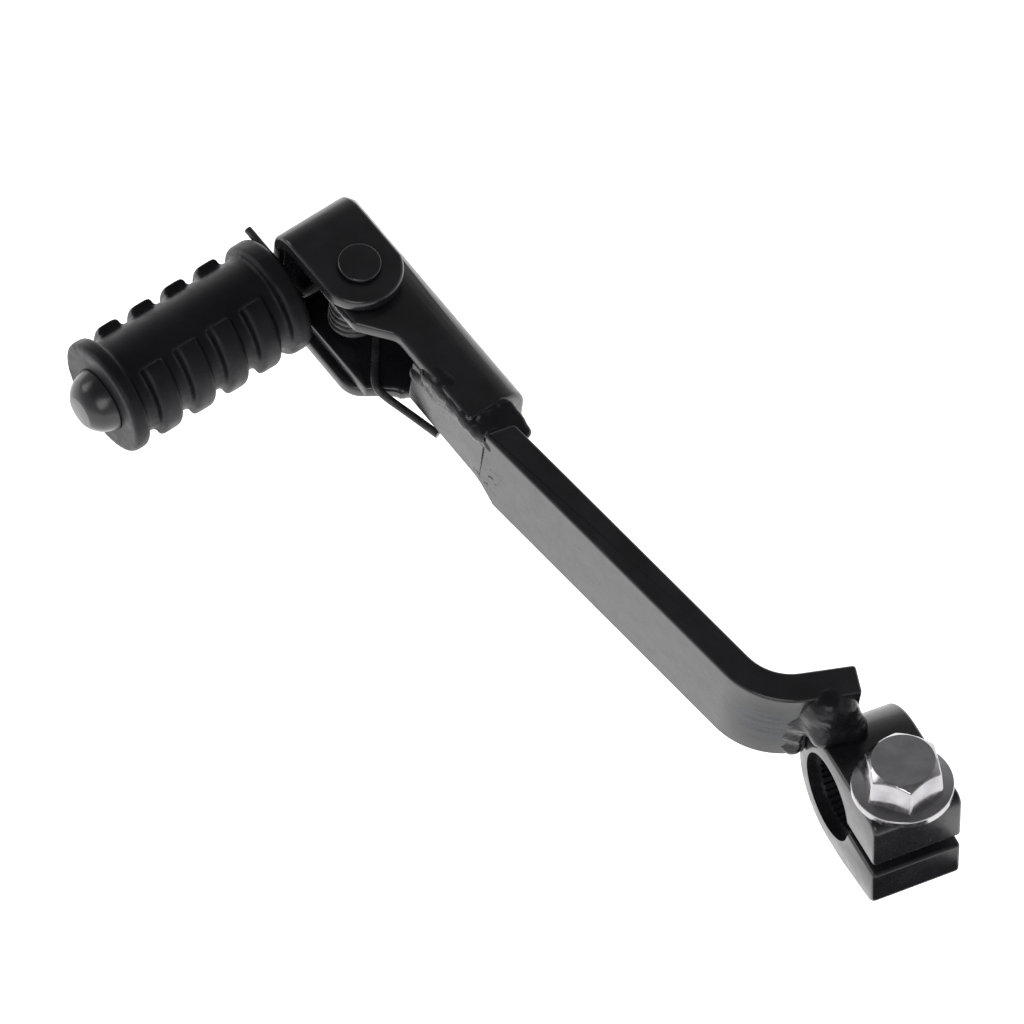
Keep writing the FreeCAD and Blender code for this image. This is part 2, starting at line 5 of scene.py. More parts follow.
import bpy
import bmesh
from mathutils import Matrix, Vector, noise


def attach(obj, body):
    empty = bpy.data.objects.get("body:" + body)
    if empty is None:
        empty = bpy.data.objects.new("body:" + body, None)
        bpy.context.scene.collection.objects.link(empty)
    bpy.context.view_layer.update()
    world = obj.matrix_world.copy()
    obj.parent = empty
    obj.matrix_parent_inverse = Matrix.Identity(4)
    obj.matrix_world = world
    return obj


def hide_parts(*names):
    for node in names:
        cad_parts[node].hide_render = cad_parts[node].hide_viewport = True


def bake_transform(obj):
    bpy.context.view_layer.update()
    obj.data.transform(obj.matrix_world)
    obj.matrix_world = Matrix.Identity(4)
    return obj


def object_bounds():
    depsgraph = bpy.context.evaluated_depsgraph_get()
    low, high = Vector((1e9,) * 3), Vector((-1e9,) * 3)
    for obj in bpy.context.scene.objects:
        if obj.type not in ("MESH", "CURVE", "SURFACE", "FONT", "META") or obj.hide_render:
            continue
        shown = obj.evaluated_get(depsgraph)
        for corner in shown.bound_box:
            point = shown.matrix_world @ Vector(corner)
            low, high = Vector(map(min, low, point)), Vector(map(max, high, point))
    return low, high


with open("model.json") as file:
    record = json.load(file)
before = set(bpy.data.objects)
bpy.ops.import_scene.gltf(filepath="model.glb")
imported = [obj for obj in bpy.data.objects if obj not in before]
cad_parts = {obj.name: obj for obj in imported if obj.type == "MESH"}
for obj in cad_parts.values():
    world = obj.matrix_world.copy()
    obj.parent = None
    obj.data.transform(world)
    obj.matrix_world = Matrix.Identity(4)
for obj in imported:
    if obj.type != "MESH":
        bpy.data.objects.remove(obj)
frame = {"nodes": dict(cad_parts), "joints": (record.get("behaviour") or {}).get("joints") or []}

cad_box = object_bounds()


# Clamp boss: a ring of steel, turned and bored with fine serrations, slotted so that its jaws can pinch the
# gear shaft. It is painted black over all, and its sawn and turned edges are rounded. Its jaws and its bolt
# lean back about the bore.

MM = 0.001
SAME_POINT = 0.002
LYING_FLAT = math.radians(0.4)
FOLD_ANGLE = 40
BOSS_ROUNDING, BOSS_STEPS = 0.6, 4
CLAMP_TILT = math.radians(13)
BOLT_BACK, BOSS_TOP = 9.5, 9.2
BORE_EDGE, BOLT_HOLE_EDGE = 6.9, 4.2
PAINT_DARK, PAINT_LIGHT = (0.0075, 0.007, 0.0085), (0.0145, 0.0135, 0.0165)
PAINT_GLOSS, PAINT_UNEVEN, PAINT_IOR = 0.2, 0.1, 1.5
PEEL_DEPTH, PAINT_PEEL = 0.06, 0.22
CLOUD_GRIT = 0.55
SHARE, FIRST_COLOUR, SECOND_COLOUR, MIXED_COLOUR = 0, 6, 7, 2


def merge_faces(gap):
    """Joins the active piece's points closer than a gap in millimetres, then its faces that lie flat together."""
    bpy.ops.object.mode_set(mode="EDIT")
    bpy.ops.mesh.select_all(action="SELECT")
    bpy.ops.mesh.remove_doubles(threshold=gap * MM)
    bpy.ops.mesh.dissolve_limited(angle_limit=LYING_FLAT)
    bpy.ops.object.mode_set(mode="OBJECT")


def outline_copy(node, name):
    """The node's solid as a clean mesh: triangles merged into whole faces, each in its real place."""
    bpy.ops.object.select_all(action="DESELECT")
    piece = bpy.data.objects.new(name, frame["nodes"][node].data.copy())
    bpy.context.scene.collection.objects.link(piece)
    piece.data.materials.clear()
    bpy.context.view_layer.objects.active = piece
    piece.select_set(True)
    bpy.ops.mesh.customdata_custom_splitnormals_clear()
    merge_faces(SAME_POINT)
    return piece


def break_edges(piece, width, fold=FOLD_ANGLE, segments=3, where=None, flat_faces=False, crease=None):
    """Rounds the edges sharper than the fold angle, all over or only where asked, by a width in millimetres."""
    mesh = bmesh.new()
    mesh.from_mesh(piece.data)
    weight = mesh.edges.layers.float.new("bevel_weight_edge")
    for edge in mesh.edges:
        sharp = len(edge.link_faces) == 2 and edge.calc_face_angle() > math.radians(fold)
        middle = (edge.verts[0].co + edge.verts[1].co) / 2
        if sharp and (where is None or where(middle)):
            edge[weight] = 1.0
    mesh.to_mesh(piece.data)
    mesh.free()
    bevel = piece.modifiers.new("broken_edge", "BEVEL")
    bevel.width = width * MM
    bevel.segments = segments
    bevel.limit_method = "WEIGHT"
    bevel.use_clamp_overlap = False
    bpy.context.view_layer.objects.active = piece
    bpy.ops.object.modifier_apply(modifier="broken_edge")
    bpy.ops.object.select_all(action="DESELECT")
    piece.select_set(True)
    bpy.ops.object.shade_smooth_by_angle(angle=math.radians(crease or fold))
    if flat_faces:
        flat = piece.modifiers.new("flat_faces", "WEIGHTED_NORMAL")
        flat.keep_sharp = True
        bpy.ops.object.modifier_apply(modifier="flat_faces")


def stand_for(piece, node, body, finish):
    """Gives a piece its finish and its place on a body, and hides the node that it stands for."""
    piece.data.materials.clear()
    piece.data.materials.append(finish)
    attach(piece, body)
    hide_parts(node)


def new_finish(name):
    """A material with its nodes, its shader and the piece's own coordinates, ready for a finish to be built on."""
    finish = bpy.data.materials.new(name)
    finish.use_nodes = True
    tree = finish.node_tree
    shader = tree.nodes["Principled BSDF"]
    place = tree.nodes.new("ShaderNodeTexCoord").outputs["Object"]
    return finish, tree, shader, place


def cloud(tree, place, scale, detail):
    """A soft noise on the piece's own coordinates, in features per metre."""
    mottle = tree.nodes.new("ShaderNodeTexNoise")
    mottle.inputs["Scale"].default_value = scale
    mottle.inputs["Detail"].default_value = detail
    mottle.inputs["Roughness"].default_value = CLOUD_GRIT
    tree.links.new(place, mottle.inputs["Vector"])
    return mottle.outputs["Fac"]


def spread(tree, value, low, high, start=0.35, end=0.65):
    """Maps a value from between start and end to between low and high."""
    ramp = tree.nodes.new("ShaderNodeMapRange")
    ramp.inputs["From Min"].default_value = start
    ramp.inputs["From Max"].default_value = end
    ramp.inputs["To Min"].default_value = low
    ramp.inputs["To Max"].default_value = high
    tree.links.new(value, ramp.inputs["Value"])
    return ramp.outputs["Result"]


def mottled(tree, shader, value, dark, light):
    """Colours the shader between two shades, by a noise value."""
    mix = tree.nodes.new("ShaderNodeMix")
    mix.data_type = "RGBA"
    mix.inputs[FIRST_COLOUR].default_value = (*dark, 1)
    mix.inputs[SECOND_COLOUR].default_value = (*light, 1)
    tree.links.new(spread(tree, value, 0, 1), mix.inputs[SHARE])
    tree.links.new(mix.outputs[MIXED_COLOUR], shader.inputs["Base Color"])


def relief(tree, shader, height, depth, strength):
    """Fine bumps from a height, with their depth in millimetres."""
    bump = tree.nodes.new("ShaderNodeBump")
    bump.inputs["Distance"].default_value = depth * MM
    bump.inputs["Strength"].default_value = strength
    tree.links.new(height, bump.inputs["Height"])
    tree.links.new(bump.outputs["Normal"], shader.inputs["Normal"])


def black_paint(name, peel):
    """Sprayed black enamel: faint cloudy tone, uneven gloss and the slight ripple of a sprayed coat."""
    finish, tree, shader, place = new_finish(name)
    mottled(tree, shader, cloud(tree, place, scale=160, detail=4), PAINT_DARK, PAINT_LIGHT)
    gloss = spread(tree, cloud(tree, place, scale=420, detail=6), PAINT_GLOSS, PAINT_GLOSS + PAINT_UNEVEN)
    tree.links.new(gloss, shader.inputs["Roughness"])
    shader.inputs["IOR"].default_value = PAINT_IOR
    relief(tree, shader, cloud(tree, place, scale=700, detail=3), PEEL_DEPTH, peel)
    return finish


at_bolt = Matrix.Rotation(CLAMP_TILT, 4, "Y") @ Matrix.Translation(Vector((-BOLT_BACK, 0, BOSS_TOP)) * MM)


def on_outside(spot):
    """Whether a point of the boss is clear of both its bore and the bolt's hole."""
    from_bolt = at_bolt.inverted() @ spot
    clear_of_bore = math.hypot(spot.x, spot.z) > BORE_EDGE * MM
    return clear_of_bore and math.hypot(from_bolt.x, from_bolt.y) > BOLT_HOLE_EDGE * MM


paint = black_paint("black_paint", PAINT_PEEL)
boss = outline_copy("clamp_boss", "clamp_boss_painted")
break_edges(boss, BOSS_ROUNDING, segments=BOSS_STEPS, where=on_outside)
stand_for(boss, "clamp_boss", "arm", paint)


# Clamp bolt: a plated hexagon flange bolt, cold formed, so its flange and the corners of its head are rounded.
# Its flats lean in a little towards the top. It drops through the upper jaw and screws into the lower one.

PLATING_DARK, PLATING_LIGHT = (0.32, 0.31, 0.325), (0.41, 0.4, 0.415)
HAZE_LEAST, HAZE_MOST = 0.12, 0.26
FLANGE_RIM, FLANGE_TOP, FLANGE_SLOPE = 1.1, 2.0, 0.35
HEAD_TOP, DISH_RADIUS, HEX_REACH, HEX_FOOT = 6.0, 3.45, 6.2, 1.6
FOOT_SCALE, HEAD_DRAFT = 1.05, 0.1
HEAD_TURN = Matrix.Rotation(math.radians(27), 4, "Z")
BOLT_ROUNDING, HEX_FOLD, HEX_CREASE = 0.25, 42, 22
CLOSE_POINTS, SLACK, RIM_SLACK = 0.01, 0.05, 0.02


def bright_plating(name):
    """Bright plating: a cool silver with soft haze and fine handling marks."""
    finish, tree, shader, place = new_finish(name)
    mottled(tree, shader, cloud(tree, place, scale=300, detail=4), PLATING_DARK, PLATING_LIGHT)
    haze = spread(tree, cloud(tree, place, scale=900, detail=5), HAZE_LEAST, HAZE_MOST)
    tree.links.new(haze, shader.inputs["Roughness"])
    shader.inputs["Metallic"].default_value = 1.0
    relief(tree, shader, cloud(tree, place, scale=1500, detail=3), depth=0.04, strength=0.2)
    return finish


def above_flange(spot):
    """Whether a point of the bolt is on its head, clear of the flange."""
    return (at_bolt.inverted() @ spot).z > HEX_FOOT * MM


bolt = outline_copy("clamp_bolt", "clamp_bolt_plated")
for vertex in bolt.data.vertices:
    spot = HEAD_TURN @ at_bolt.inverted() @ vertex.co / MM
    from_axis = math.hypot(spot.x, spot.y)
    if FLANGE_RIM < spot.z < FLANGE_TOP + SLACK:
        spot.z = FLANGE_RIM + (spot.z - FLANGE_RIM) * FLANGE_SLOPE
    elif spot.z > FLANGE_TOP + SLACK and from_axis < DISH_RADIUS:
        spot.z = HEAD_TOP
    if spot.z > FLANGE_RIM + RIM_SLACK and from_axis < HEX_REACH:
        lean = FOOT_SCALE - HEAD_DRAFT * (spot.z - FLANGE_RIM) / (HEAD_TOP - FLANGE_RIM)
        spot.x, spot.y = spot.x * lean, spot.y * lean
    vertex.co = at_bolt @ (spot * MM)
merge_faces(CLOSE_POINTS)
break_edges(bolt, BOLT_ROUNDING, fold=HEX_FOLD, where=above_flange, crease=HEX_CREASE)
stand_for(bolt, "clamp_bolt", "arm", bright_plating("bolt_plating"))


# Arm bar: flat steel bar on edge, bent cold near the boss, its tongue sheared narrower to go into the knuckle.
# Its rolled edges are slightly rounded. A painted highlight streaks the dull bend, and the paint is pitted near the
# tongue.

BAR_ROUNDING, BAR_FOLD = 0.55, 30
# Painted highlight: the pale bluish colour of the streaks at the bend, and where it lies, in millimetres.
HIGHLIGHT_STREAK_COLOUR = (0.032, 0.042, 0.052)
ALONG_THE_BAR = (0.12, 0.12, 1.6)
HIGHLIGHT_CENTRE, HIGHLIGHT_CORE, HIGHLIGHT_REACH = (8.6, 13.2, 8), 2.2, 5.8
DULL_CENTRE, DULL_CORE, DULL_REACH, DULL_SHARE = (8.0, 12.6, 8), 3.0, 9.0, 0.42
PIT_CENTRE, PIT_CORE, PIT_REACH = (60.8, 32.2, 6.4), 2.4, 4.6
SOUND_SHINE, PIT_SHINE = 0.5, 0.03


def near(tree, place, centre, core, reach):
    """One inside a ball round a centre, fading to nothing at its reach, all in millimetres."""
    gap = tree.nodes.new("ShaderNodeVectorMath")
    gap.operation = "DISTANCE"
    gap.inputs[1].default_value = Vector(centre) * MM
    tree.links.new(place, gap.inputs[0])
    return spread(tree, gap.outputs["Value"], 1, 0, core * MM, reach * MM)


def times(tree, first, second):
    """Two values multiplied."""
    product = tree.nodes.new("ShaderNodeMath")
    product.operation = "MULTIPLY"
    tree.links.new(first, product.inputs[0])
    tree.links.new(second, product.inputs[1])
    return product.outputs["Value"]


def highlighted_bar_paint(name):
    """The black enamel with pale painted highlight streaks and less shine at the bend, and small pits near the
    tongue.
    """
    finish = black_paint(name, PAINT_PEEL)
    tree = finish.node_tree
    shader = tree.nodes["Principled BSDF"]
    place = tree.nodes["Texture Coordinate"].outputs["Object"]
    drawn_out = tree.nodes.new("ShaderNodeMapping")
    drawn_out.inputs["Scale"].default_value = ALONG_THE_BAR
    tree.links.new(place, drawn_out.inputs["Vector"])
    along_bar = cloud(tree, drawn_out.outputs["Vector"], scale=900, detail=5)
    highlight_streaks = spread(tree, along_bar, low=0.25, high=1, start=0.4, end=0.62)
    # Painted highlight: pale streaks mixed into the paint's colour round the bend.
    painted_highlight = tree.nodes.new("ShaderNodeMix")
    painted_highlight.data_type = "RGBA"
    painted_highlight.inputs[SECOND_COLOUR].default_value = (*HIGHLIGHT_STREAK_COLOUR, 1)
    at_highlight = near(tree, place, HIGHLIGHT_CENTRE, HIGHLIGHT_CORE, HIGHLIGHT_REACH)
    tree.links.new(times(tree, highlight_streaks, at_highlight), painted_highlight.inputs[SHARE])
    sound_colour = shader.inputs["Base Color"].links[0].from_socket
    tree.links.new(sound_colour, painted_highlight.inputs[FIRST_COLOUR])
    tree.links.new(painted_highlight.outputs[MIXED_COLOUR], shader.inputs["Base Color"])
    pits = spread(tree, cloud(tree, place, scale=1100, detail=2), low=0, high=1, start=0.6, end=0.66)
    pitted = times(tree, pits, near(tree, place, PIT_CENTRE, PIT_CORE, PIT_REACH))
    dulled = spread(tree, near(tree, place, DULL_CENTRE, DULL_CORE, DULL_REACH), 1, DULL_SHARE, 0, 1)
    shine = times(tree, dulled, spread(tree, pitted, SOUND_SHINE, PIT_SHINE, 0, 1))
    tree.links.new(shine, shader.inputs["Specular IOR Level"])
    return finish


bar = outline_copy("arm_bar", "arm_bar_painted")
break_edges(bar, BAR_ROUNDING, fold=BAR_FOLD, flat_faces=True)
stand_for(bar, "arm_bar", "arm", highlighted_bar_paint("bar_paint"))


# Boss weld: the heap of weld metal that fills the corner between the boss and the stub of the bar.
# It is laid by hand in overlapping puddles, row upon row, and painted over with the rest.

WELD_PEEL, WELD_SHINE = 0.4, 0.22
NUDGE, LEAST_PUDDLE, MOST_PUDDLE = 0.16, 0.88, 1.1
WAVE_PER_MM, WAVE_DEPTH = 0.55, 0.16
WRINKLE_PER_MM, WRINKLE_DEPTH = 1.9, 0.04
BOSS_WELD_GRAIN, BOSS_WELD_SEED, BOSS_WELD_SETTLING = 0.22, 3, 100


def weld_heap(name, puddles, grain, seed, settling=60):
    """Overlapping puddles run together: each is a centre and a radius in millimetres, nudged a little."""
    dice = random.Random(seed)
    bpy.ops.object.select_all(action="DESELECT")
    drops = []
    for centre, radius in puddles:
        nudge = Vector([dice.uniform(-NUDGE, NUDGE) * radius for _ in range(3)])
        size = radius * dice.uniform(LEAST_PUDDLE, MOST_PUDDLE) * MM
        bpy.ops.mesh.primitive_uv_sphere_add(
            segments=20, ring_count=12, radius=size, location=(Vector(centre) + nudge) * MM)
        bpy.ops.object.transform_apply(location=True, rotation=True, scale=True)
        drops.append(bpy.context.object)
    for drop in drops:
        drop.select_set(True)
    bpy.ops.object.join()
    heap = bpy.context.object
    heap.name = name
    skin = heap.modifiers.new("run_together", "REMESH")
    skin.mode = "VOXEL"
    skin.voxel_size = grain * MM
    bpy.ops.object.modifier_apply(modifier="run_together")
    settle = heap.modifiers.new("settle", "SMOOTH")
    settle.factor = 0.6
    settle.iterations = settling
    bpy.ops.object.modifier_apply(modifier="settle")
    for vertex in heap.data.vertices:
        spot = vertex.co / MM
        wave = noise.noise(spot * WAVE_PER_MM) * WAVE_DEPTH
        wrinkle = noise.noise(spot * WRINKLE_PER_MM) * WRINKLE_DEPTH
        vertex.co += vertex.normal * (wave + wrinkle) * MM
    bpy.ops.object.shade_smooth()
    return heap


def row(start, end, count, radius):
    """Puddles of one radius, evenly spaced from start to end."""
    start, end = Vector(start), Vector(end)
    return [(start.lerp(end, i / (count - 1)), radius) for i in range(count)]


weld_paint = black_paint("painted_weld", WELD_PEEL)
weld_paint.node_tree.nodes["Principled BSDF"].inputs["Specular IOR Level"].default_value = WELD_SHINE
on_boss = row((5.2, 1.8, 8.8), (5.5, 5.9, 8.8), count=6, radius=2.6)
in_corner = row((6.3, 3.2, 10.8), (6.6, 5.9, 11.2), count=5, radius=2.7)
over_bar_edge = row((7.0, 3.6, 12.9), (7.1, 5.2, 13.2), count=3, radius=3.0)
outboard_bead = row((7.9, 7.2, 12.0), (8.5, 8.2, 1.8), count=10, radius=1.5)
bead_toe = row((8.6, 9.2, 10.4), (9.2, 10.2, 2.6), count=9, radius=0.95)
inboard_fillet = row((5.8, 0.6, 8.6), (9.2, -0.2, 6.0), count=5, radius=1.3)
boss_puddles = on_boss + in_corner + over_bar_edge + outboard_bead + bead_toe + inboard_fillet
boss_weld = weld_heap("boss_weld_painted", boss_puddles, BOSS_WELD_GRAIN, BOSS_WELD_SEED, BOSS_WELD_SETTLING)
stand_for(boss_weld, "boss_weld", "arm", weld_paint)


# Knuckle channel: sheet steel folded to a channel, open outboard, with its two lugs cut round for the rivet.
# Its sheared edges are a little rounded by tumbling and paint, and its lower edge is cut back behind the lug.

KNUCKLE_TURN = math.radians(13.5)
MOUTH_EDGE, LUG_REAR, LOWER_MOUTH = 1.3, -11.5, 0.1
SHEET_ROUNDING, SHEET_STEPS = 0.7, 4

pivot = Vector(frame["joints"][0]["pos_m"])
knuckle = Matrix.Translation(pivot) @ Matrix.Rotation(KNUCKLE_TURN, 4, "Z")
channel = outline_copy("knuckle_channel", "knuckle_channel_painted")
for vertex in channel.data.vertices:
    spot = knuckle.inverted() @ vertex.co / MM
    if abs(spot.y - MOUTH_EDGE) < SLACK and spot.z < 0 and spot.x < LUG_REAR:
        spot.y = LOWER_MOUTH
        vertex.co = knuckle @ (spot * MM)
break_edges(channel, SHEET_ROUNDING, segments=SHEET_STEPS)
stand_for(channel, "knuckle_channel", "arm", paint)


# Knuckle welds: one bead runs along the tongue under the upper flange, the other closes the channel's rear end.
# Their rows are placed in the knuckle's own frame, ahead of, outboard of and above the pivot.

KNUCKLE_WELD_GRAIN, SEAM_SEED, END_SEED = 0.18, 7, 9


def at_knuckle(x, y, z):
    """A point of the knuckle's own frame, in millimetres of the row's frame."""
    return (knuckle @ Vector((x * MM, y * MM, z * MM))) / MM


seam_ridge = row(at_knuckle(-29.8, 0.1, 5.7), at_knuckle(-18, 0.1, 5.8), count=14, radius=1.95)
seam_skirt = row(at_knuckle(-23, 0.3, 4.4), at_knuckle(-15.2, 0.2, 2.4), count=9, radius=1.6)
seam_tip = row(at_knuckle(-18, 0.1, 5.6), at_knuckle(-14.4, -0.6, 4.8), count=5, radius=1.6)
seam_puddles = seam_ridge + seam_skirt + seam_tip
knuckle_weld = weld_heap("knuckle_weld_painted", seam_puddles, KNUCKLE_WELD_GRAIN, SEAM_SEED)
stand_for(knuckle_weld, "knuckle_weld", "arm", weld_paint)
rear_wall = row(at_knuckle(-28.2, -4.4, -4.8), at_knuckle(-28.2, -4.4, 6.4), count=9, radius=1.7)
inboard_fill = row(at_knuckle(-27.4, -2.6, 5.5), at_knuckle(-31.8, -2.8, 5.6), count=5, radius=2.0)
outboard_fill = row(at_knuckle(-27.4, -0.6, 5.5), at_knuckle(-31.8, -0.8, 5.6), count=5, radius=2.0)
top_run = row(at_knuckle(-28.0, -4.6, 7.0), at_knuckle(-33.0, -4.4, 6.6), count=6, radius=1.0)
end_puddles = rear_wall + inboard_fill + outboard_fill + top_run
knuckle_end_weld = weld_heap("knuckle_end_weld_painted", end_puddles, KNUCKLE_WELD_GRAIN, END_SEED)
stand_for(knuckle_end_weld, "knuckle_end_weld", "arm", weld_paint)


# Toe bracket: a strip of sheet steel bent to a U that straddles the knuckle and turns on the rivet.
# Its edges are tumbled and painted like the channel's.

bracket = outline_copy("toe_bracket", "toe_bracket_painted")
break_edges(bracket, SHEET_ROUNDING, segments=SHEET_STEPS)
stand_for(bracket, "toe_bracket", "toe", paint)


# Pivot rivet: a steel pin, headed over on both ears of the bracket and painted with it.
# It turns in the channel's lugs.

RIVET_ROUNDING = 0.35
rivet = outline_copy("pivot_rivet", "pivot_rivet_painted")
break_edges(rivet, RIVET_ROUNDING)
stand_for(rivet, "pivot_rivet", "toe", paint)


# Toe peg: the steel rod that the rubber sits on, with a turned button on its outer end that keeps the rubber on.
# A fillet weld round its lower half holds its foot to the bracket.

PEG_AHEAD, PEG_ROUNDING = 7.8, 0.3
BUTTON_START, BUTTON_LENGTH, BUTTON_SHOWN = 38.55, 2.6, 3.7
BUTTON_FOOT, BUTTON_TAPER, BUTTON_CURVE, JUST_BEFORE = 1.06, 0.4, 1.5, -0.01
FILLET_COUNT, FILLET_TURN, FILLET_RING, FILLET_OUT, FILLET_RADIUS = 9, 22.5, 3.7, 6.7, 1.0
FILLET_GRAIN, FILLET_SEED = 0.16, 11

peg = outline_copy("toe_peg", "toe_peg_painted")
for vertex in peg.data.vertices:
    spot = knuckle.inverted() @ vertex.co / MM
    along = (spot.y - BUTTON_START) / BUTTON_LENGTH
    if along > JUST_BEFORE:
        narrow = BUTTON_FOOT * (1 - BUTTON_TAPER * max(along, 0) ** BUTTON_CURVE)
        spot.x = PEG_AHEAD + (spot.x - PEG_AHEAD) * narrow
        spot.z *= narrow
        spot.y = BUTTON_START + along * BUTTON_SHOWN
        vertex.co = knuckle @ (spot * MM)
break_edges(peg, PEG_ROUNDING)
stand_for(peg, "toe_peg", "toe", paint)
fillet_puddles = []
for step in range(FILLET_COUNT):
    angle = math.radians(180 + FILLET_TURN * step)
    ahead, above_rod = FILLET_RING * math.cos(angle), FILLET_RING * math.sin(angle)
    fillet_puddles.append((at_knuckle(PEG_AHEAD + ahead, FILLET_OUT, above_rod), FILLET_RADIUS))
peg_weld = weld_heap("peg_weld_painted", fillet_puddles, FILLET_GRAIN, FILLET_SEED)
stand_for(peg_weld, "peg_weld", "toe", weld_paint)


# Toe rubber: a moulded sleeve with a collar, an end flange and short ribs on its front and rear sides.
# It is pushed over the peg, turned a little on it, and is matt black with rounded edges.

RUBBER_DARK, RUBBER_LIGHT = (0.0046, 0.0042, 0.006), (0.0085, 0.008, 0.0108)
RUBBER_SMOOTHEST, RUBBER_ROUGHEST, RUBBER_SHINE = 0.38, 0.5, 0.2
RUBBER_TURN = math.radians(21)
RUBBER_GRAIN, RUBBER_SOFTENING = 0.24, 12


def moulded_rubber(name):
    """Matt black rubber with a fine moulded grain and a faint bloom."""
    finish, tree, shader, place = new_finish(name)
    mottled(tree, shader, cloud(tree, place, scale=220, detail=5), RUBBER_DARK, RUBBER_LIGHT)
    bloom = spread(tree, cloud(tree, place, scale=500, detail=5), RUBBER_SMOOTHEST, RUBBER_ROUGHEST)
    tree.links.new(bloom, shader.inputs["Roughness"])
    shader.inputs["Specular IOR Level"].default_value = RUBBER_SHINE
    relief(tree, shader, cloud(tree, place, scale=2600, detail=4), depth=0.05, strength=0.35)
    return finish


rubber = outline_copy("toe_rubber", "toe_rubber_moulded")
peg_line = knuckle @ Matrix.Translation(Vector((PEG_AHEAD * MM, 0, 0)))
rubber.data.transform(peg_line @ Matrix.Rotation(RUBBER_TURN, 4, "Y") @ peg_line.inverted())
moulding = rubber.modifiers.new("moulding", "REMESH")
moulding.mode = "VOXEL"
moulding.voxel_size = RUBBER_GRAIN * MM
bpy.ops.object.modifier_apply(modifier="moulding")
soften = rubber.modifiers.new("soften", "SMOOTH")
soften.factor = 0.5
soften.iterations = RUBBER_SOFTENING
bpy.ops.object.modifier_apply(modifier="soften")
bpy.ops.object.shade_smooth()
stand_for(rubber, "toe_rubber", "toe", moulded_rubber("toe_rubber"))


# Torsion spring: dark drawn wire coiled round the rivet. Its lower leg bears on the arm and its upper leg on the
# bracket, so the coil twists between the two as the toe folds.

WIRE_DARK, WIRE_LIGHT = (0.02, 0.02, 0.022), (0.045, 0.045, 0.048)
WIRE_SMOOTHEST, WIRE_ROUGHEST, WIRE_IOR = 0.2, 0.32, 1.38
COIL_RADIUS, COIL_HALF, WIRE_RADIUS = 3.3, 4.25, 0.6
TURN_STEPS, WHOLE_TURNS, LEAVING_ANGLE = 16, 6, 129
UPPER_OUT, UPPER_UP = 7.03, 4.4
UPPER_LEG = [(x, UPPER_OUT, UPPER_UP) for x in (16.4, 9, 5.2, 3.5)]
UPPER_LEG += [(COIL_RADIUS, 6.4, 4.38), (COIL_RADIUS, 4.0, 4.32), (COIL_RADIUS, 1.6, 4.27)]
LOWER_LEG = [(-6.2, 0.8, -4.32), (-9.2, 3.3, -4.38), (-10.8, 4.2, -4.5), (-12.0, 3.7, -5.3)]
LOWER_LEG += [(-13.0, 3.1, -6.1), (-14.4, 2.6, -6.3), (-17.6, 1.75, -6.3), (-21.2, 0.85, -6.3)]
WIRE_CREASE = math.radians(50)


def drawn_wire(name):
    """Dark oiled wire with a faintly uneven sheen."""
    finish, tree, shader, place = new_finish(name)
    mottled(tree, shader, cloud(tree, place, scale=600, detail=4), WIRE_DARK, WIRE_LIGHT)
    sheen = spread(tree, cloud(tree, place, scale=1800, detail=4), WIRE_SMOOTHEST, WIRE_ROUGHEST)
    tree.links.new(sheen, shader.inputs["Roughness"])
    shader.inputs["IOR"].default_value = WIRE_IOR
    return finish


whole_coil = -math.radians(WHOLE_TURNS * 360 + LEAVING_ANGLE)
coil_steps = round(-whole_coil / math.tau * TURN_STEPS)
coil = []
for step in range(coil_steps + 1):
    angle = whole_coil * step / coil_steps
    height = COIL_HALF * (1 - 2 * step / coil_steps)
    coil.append((COIL_RADIUS * math.cos(angle), COIL_RADIUS * math.sin(angle), height))
wire_points = UPPER_LEG + coil + LOWER_LEG
wire_line = bpy.data.curves.new("torsion_spring_wire", "CURVE")
wire_line.dimensions = "3D"
run = wire_line.splines.new("NURBS")
run.points.add(len(wire_points) - 1)
for knot, spot in zip(run.points, wire_points):
    knot.co = (*(knuckle @ (Vector(spot) * MM)), 1)
run.order_u = 3
run.use_endpoint_u = True
run.resolution_u = 3
wire_line.bevel_depth = WIRE_RADIUS * MM
wire_line.bevel_resolution = 4
wire_line.use_fill_caps = True
bpy.ops.object.select_all(action="DESELECT")
spring = bpy.data.objects.new("torsion_spring_wire", wire_line)
bpy.context.scene.collection.objects.link(spring)
bpy.context.view_layer.objects.active = spring
spring.select_set(True)
bpy.ops.object.convert(target="MESH")
spring = bpy.context.object
bpy.ops.object.shade_smooth_by_angle(angle=WIRE_CREASE)
spring.data.materials.append(drawn_wire("spring_wire"))
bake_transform(spring)
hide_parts("torsion_spring")


# Table: a plain pale light table that the lever lies on, wide enough to fill the view and to show in its paint.
# A dark card behind the clamp, out of the camera's sight, is painted shade: the jaws' rear faces reflect it.

TABLE_SIDE, TABLE_MIDDLE, TABLE_DROP = 6000, (50, 30), 0.4
TABLE_COLOUR, TABLE_GLOW, MATT = (0.93, 0.93, 0.93), 1.35, 0.9
CARD_LENGTH, CARD_WIDTH, CARD_MIDDLE, CARD_DROP = 40, 44, (-37.5, 9.5), 0.3
CARD_COLOUR, CARD_GLOW = (0.02, 0.02, 0.022), 0.03


def flat_sheet(name, length, width, middle, drop):
    """A level sheet a little below the lever, all in millimetres."""
    bpy.ops.object.select_all(action="DESELECT")
    location = (middle[0] * MM, middle[1] * MM, cad_box[0][2] - drop * MM)
    bpy.ops.mesh.primitive_plane_add(size=1, location=location)
    sheet = bpy.context.object
    sheet.scale = (length * MM, width * MM, 1)
    bpy.ops.object.transform_apply(location=True, rotation=True, scale=True)
    sheet.name = name
    return sheet


def glowing_face(name, colour, glow):
    """A matt face that gives off a soft white light."""
    finish, _, shader, _ = new_finish(name)
    shader.inputs["Base Color"].default_value = (*colour, 1)
    shader.inputs["Roughness"].default_value = MATT
    shader.inputs["Emission Color"].default_value = (1, 1, 1, 1)
    shader.inputs["Emission Strength"].default_value = glow
    return finish


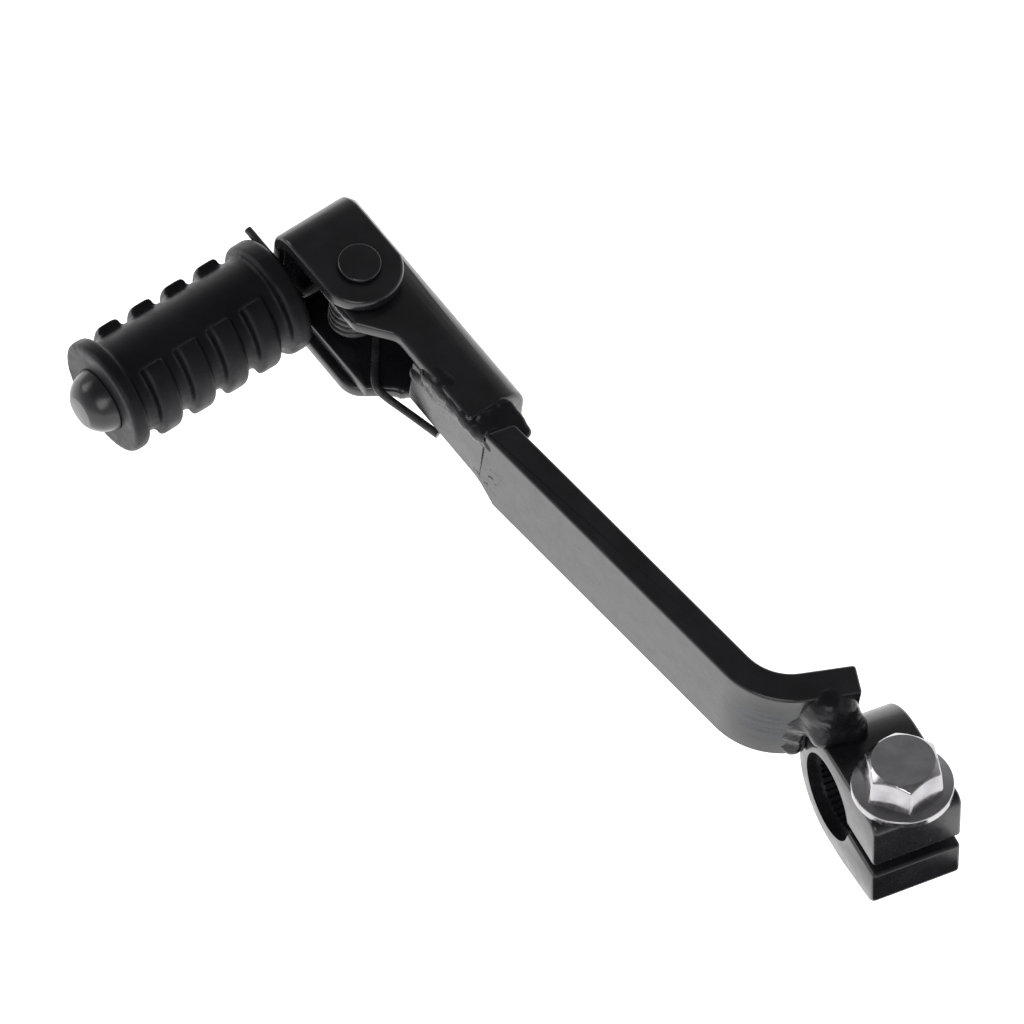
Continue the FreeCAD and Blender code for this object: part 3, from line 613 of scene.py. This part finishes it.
table = flat_sheet("table", TABLE_SIDE, TABLE_SIDE, TABLE_MIDDLE, TABLE_DROP)
table.data.materials.append(glowing_face("pale_table", TABLE_COLOUR, TABLE_GLOW))
# Painted shade: a dark, faintly glowing sheet that shows only in the jaws' reflections.
card = flat_sheet("shade_card", CARD_LENGTH, CARD_WIDTH, CARD_MIDDLE, CARD_DROP)
card.data.materials.append(glowing_face("shade_card", CARD_COLOUR, CARD_GLOW))
card.visible_camera = False


# Light and camera: a sky that is dim overhead and bright low down, a large soft lamp over the near side and a weaker
# one opposite, and a long lens that looks down on the lever at the photograph's angle.

ZENITH, HORIZON = 0.18, 0.75
BRIGHT_BELOW, DIM_ABOVE = 0.1, 0.75
LAMP_DISTANCE = 1.4

world = bpy.data.worlds.new("studio")
bpy.context.scene.world = world
world.use_nodes = True
sky = world.node_tree.nodes["Background"]
sky.inputs["Color"].default_value = (1, 1, 1, 1)
way_up = world.node_tree.nodes.new("ShaderNodeSeparateXYZ")
sky_place = world.node_tree.nodes.new("ShaderNodeTexCoord").outputs["Object"]
world.node_tree.links.new(sky_place, way_up.inputs["Vector"])
sky_light = spread(world.node_tree, way_up.outputs["Z"], HORIZON, ZENITH, BRIGHT_BELOW, DIM_ABOVE)
world.node_tree.links.new(sky_light, sky.inputs["Strength"])


def soft_lamp(name, way, width, power):
    """A square soft box that points at the middle of the lever."""
    lamp = bpy.data.lights.new(name, "AREA")
    lamp.size = width
    lamp.energy = power
    holder = bpy.data.objects.new(name, lamp)
    bpy.context.scene.collection.objects.link(holder)
    middle = (Vector(cad_box[0]) + Vector(cad_box[1])) / 2
    holder.location = middle + Vector(way).normalized() * LAMP_DISTANCE
    holder.rotation_euler = Vector(way).to_track_quat("Z", "Y").to_euler()


soft_lamp("near_lamp", (-0.75, 0.5, 0.75), width=0.7, power=5)
soft_lamp("far_lamp", (0.8, 0.9, 0.6), width=0.6, power=3)

AZIMUTH, ELEVATION, ROLL = (math.radians(a) for a in (238.97, 60.62, 8.27))
LENS_MM, SENSOR_MM, PICTURE = 257.0, 36.0, 1024
BORE_MOUTH = Vector((0, 7.0 * MM, 0))
BORE_PIXEL = (825.2, 797.5)
PIXELS_PER_MM = 7.25

back = Vector((
    math.sin(AZIMUTH) * math.cos(ELEVATION),
    -math.cos(AZIMUTH) * math.cos(ELEVATION),
    math.sin(ELEVATION)))
level = Vector((math.cos(AZIMUTH), math.sin(AZIMUTH), 0))
upright = back.cross(level)
right = level * math.cos(ROLL) + upright * math.sin(ROLL)
up = upright * math.cos(ROLL) - level * math.sin(ROLL)
focal_pixels = PICTURE * LENS_MM / SENSOR_MM
depth = focal_pixels / PIXELS_PER_MM * MM
aside = (BORE_PIXEL[0] - PICTURE / 2) / focal_pixels * depth
above = (PICTURE / 2 - BORE_PIXEL[1]) / focal_pixels * depth
eye = BORE_MOUTH - right * aside - up * above + back * depth
camera_data = bpy.data.cameras.new("camera")
camera_data.lens = LENS_MM
camera_data.sensor_width = SENSOR_MM
camera = bpy.data.objects.new("camera", camera_data)
bpy.context.scene.collection.objects.link(camera)
camera.matrix_world = Matrix((
    (right.x, up.x, back.x, eye.x),
    (right.y, up.y, back.y, eye.y),
    (right.z, up.z, back.z, eye.z),
    (0, 0, 0, 1)))
bpy.context.scene.camera = camera
bpy.context.scene.view_settings.view_transform = "Standard"
